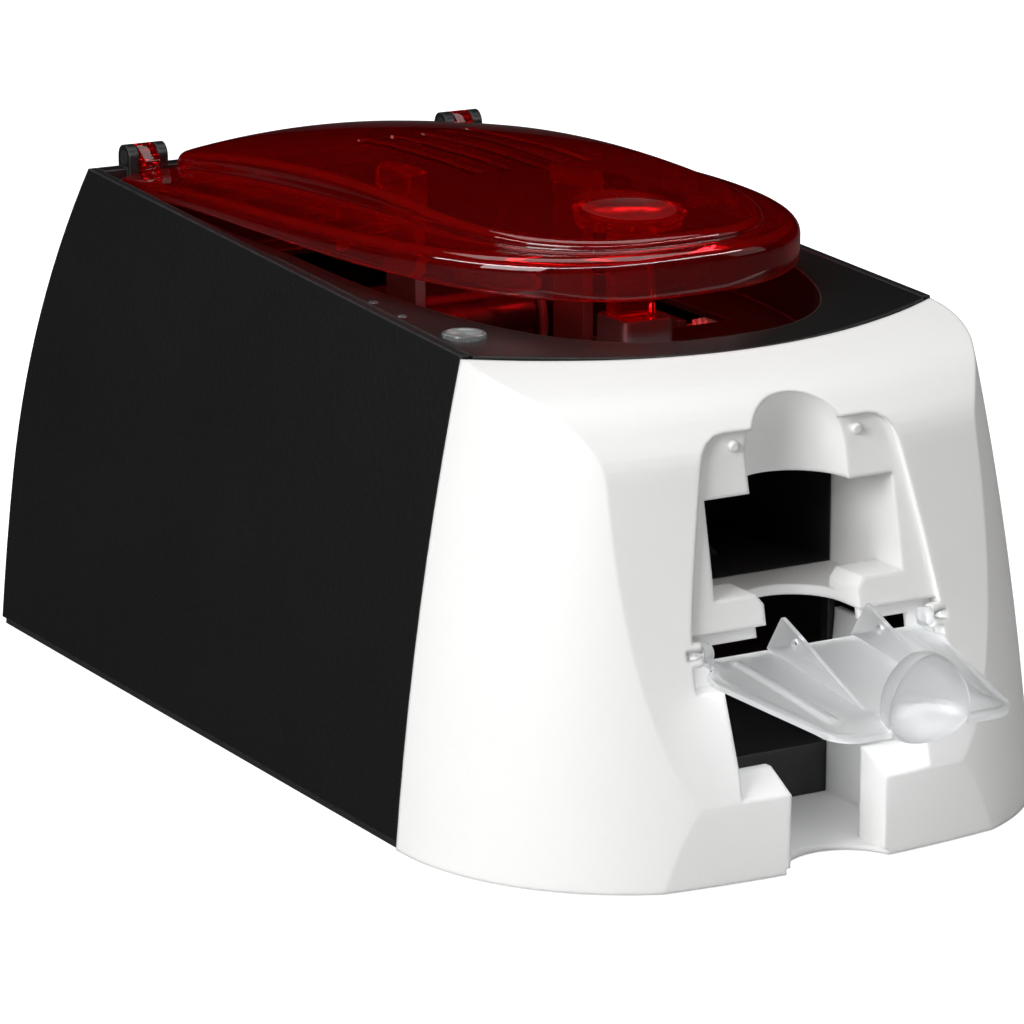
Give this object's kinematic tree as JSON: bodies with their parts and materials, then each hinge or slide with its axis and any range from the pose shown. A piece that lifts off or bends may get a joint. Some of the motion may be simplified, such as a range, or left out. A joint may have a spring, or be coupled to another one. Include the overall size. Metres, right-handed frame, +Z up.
{
  "type": "card printer",
  "caption": "Desktop card printer with a feeder bay, a folding loader flap, an output bay, a see-through hinged lid and a geared ribbon and roller path inside.",
  "frame": {"origin": "on the ground, midway between the outer faces of the sides, and midway between the screw heads at the rear and the tip of the open flap", "axes": "+X to the right as seen from in front, +Y from the front to the rear, +Z up; the front faces -Y"},
  "size_m": [0.1768, 0.3406, 0.1516],
  "materials": {
    "side_black": "fine moulded texture, black",
    "deck_black": "smooth satin black",
    "tray_black": "moulded black",
    "front_white": "smooth satin white",
    "lid_red": "polished see-through deep red",
    "flap_frost": "frosted see-through",
    "button_clear": "clear",
    "light_clear": "clear light pipe",
    "rubber_black": "matt",
    "roller_grey": "ground matt rubber",
    "cleaner_blue": "tacky smooth",
    "steel": "ground bright",
    "zinc_steel": "zinc plated sheet",
    "sink_aluminium": "extruded, plain",
    "ceramic": "glazed ceramic",
    "spool_white": "moulded off-white",
    "ribbon_dark": "wound film, dark",
    "film": "thin dye film",
    "gear_white": "moulded, natural white",
    "brass_pinion": "cut brass",
    "motor_grey": "steel can",
    "board_green": "lacquered board",
    "chassis_black": "moulded black"
  },
  "bodies": {
    "housing": {"base_tray": "tray_black", "rubber_feet": "rubber_black", "left_side_panel": "side_black", "right_side_panel": "side_black", "rear_panel": "side_black", "front_panel": "front_white", "top_deck": "deck_black", "lid_pins": "steel", "latch_catch": "tray_black", "control_board": "board_green", "status_lights": "light_clear", "chassis_left": "chassis_black", "chassis_right": "chassis_black", "feed_track": "chassis_black", "rear_track": "chassis_black", "output_chute": "chassis_black", "ribbon_film": "film", "guide_rods": "steel", "drive_motor": "motor_grey", "main_board": "board_green", "usb_socket": "zinc_steel", "power_jack": "tray_black", "screws": "zinc_steel"},
    "lid": {"lid_shell": "lid_red", "head_bracket": "zinc_steel", "print_head": "ceramic", "head_sink": "sink_aluminium"},
    "flap": {"card_flap": "flap_frost"},
    "button": {"control_button": "button_clear"},
    "platen": {"platen_shaft": "steel", "platen_roller": "roller_grey", "platen_gear": "gear_white"},
    "pick": {"pick_shaft": "steel", "pick_roller": "roller_grey", "pick_gear": "gear_white"},
    "feed": {"feed_shaft": "steel", "feed_roller": "roller_grey", "feed_gear": "gear_white"},
    "pinch": {"pinch_roller": "steel"},
    "cleaner": {"cleaning_roller": "cleaner_blue"},
    "supply": {"supply_spool": "spool_white", "supply_roll": "ribbon_dark"},
    "takeup": {"takeup_spool": "spool_white", "takeup_roll": "ribbon_dark", "takeup_gear": "gear_white"},
    "motor_drive": {"motor_pinion": "brass_pinion"},
    "motor_idler_gear": {"motor_idler": "gear_white"},
    "feed_idler_gear": {"feed_idler": "gear_white"},
    "pick_idler_gear": {"pick_idler": "gear_white"},
    "takeup_idler_gear": {"takeup_idler": "gear_white"}
  },
  "joints": [
    {"name": "lid_hinge", "type": "hinge", "parent": "housing", "child": "lid", "pos_m": [0, 0.147, 0.1376], "axis": [-1, 0, 0], "range_deg": [0, 78]},
    {"name": "flap_hinge", "type": "hinge", "parent": "housing", "child": "flap", "pos_m": [0, -0.1195, 0.057], "axis": [-1, 0, 0], "range_deg": [0, 109.1]},
    {"name": "button_press", "type": "slide", "parent": "housing", "child": "button", "axis": [0, 0, -1], "range_m": [0, 0.0012], "stiffness_N_per_m": 300},
    {"name": "platen_spin", "type": "hinge", "parent": "housing", "child": "platen", "pos_m": [0, 0.04, 0.0556], "axis": [1, 0, 0], "continuous": true},
    {"name": "pick_spin", "type": "hinge", "parent": "housing", "child": "pick", "pos_m": [0, -0.055, 0.0551], "axis": [1, 0, 0], "continuous": true},
    {"name": "feed_spin", "type": "hinge", "parent": "housing", "child": "feed", "pos_m": [0, -0.016, 0.0576], "axis": [1, 0, 0], "continuous": true},
    {"name": "pinch_spin", "type": "hinge", "parent": "housing", "child": "pinch", "pos_m": [0, -0.016, 0.0694], "axis": [1, 0, 0], "continuous": true},
    {"name": "cleaner_spin", "type": "hinge", "parent": "housing", "child": "cleaner", "pos_m": [0, 0.006, 0.07], "axis": [1, 0, 0], "continuous": true},
    {"name": "supply_spin", "type": "hinge", "parent": "housing", "child": "supply", "pos_m": [0, 0.076, 0.096], "axis": [1, 0, 0], "continuous": true},
    {"name": "takeup_spin", "type": "hinge", "parent": "housing", "child": "takeup", "pos_m": [0, -0.002, 0.096], "axis": [1, 0, 0], "continuous": true},
    {"name": "motor_spin", "type": "hinge", "parent": "housing", "child": "motor_drive", "pos_m": [0, 0.064, 0.027], "axis": [1, 0, 0], "continuous": true},
    {"name": "motor_idler_spin", "type": "hinge", "parent": "housing", "child": "motor_idler_gear", "pos_m": [0, 0.05163, 0.03634], "axis": [1, 0, 0], "continuous": true},
    {"name": "feed_idler_spin", "type": "hinge", "parent": "housing", "child": "feed_idler_gear", "pos_m": [0, 0.0105, 0.05665], "axis": [1, 0, 0], "continuous": true},
    {"name": "pick_idler_spin", "type": "hinge", "parent": "housing", "child": "pick_idler_gear", "pos_m": [0, -0.03523, 0.05209], "axis": [1, 0, 0], "continuous": true},
    {"name": "takeup_idler_spin", "type": "hinge", "parent": "housing", "child": "takeup_idler_gear", "pos_m": [0, -0.00123, 0.07702], "axis": [1, 0, 0], "continuous": true}
  ],
  "couplings": [
    {"joint": "motor_idler_spin", "follows": "platen_spin", "ratio": -1.3684},
    {"joint": "motor_spin", "follows": "platen_spin", "ratio": 2.1667},
    {"joint": "feed_idler_spin", "follows": "platen_spin", "ratio": -0.78788},
    {"joint": "feed_spin", "follows": "platen_spin", "ratio": 1.3},
    {"joint": "pick_idler_spin", "follows": "platen_spin", "ratio": -1.3},
    {"joint": "pick_spin", "follows": "platen_spin", "ratio": 1.3},
    {"joint": "takeup_idler_spin", "follows": "platen_spin", "ratio": 1.8571},
    {"joint": "takeup_spin", "follows": "platen_spin", "ratio": -1.0833},
    {"joint": "supply_spin", "follows": "platen_spin", "ratio": 0.75}
  ]
}
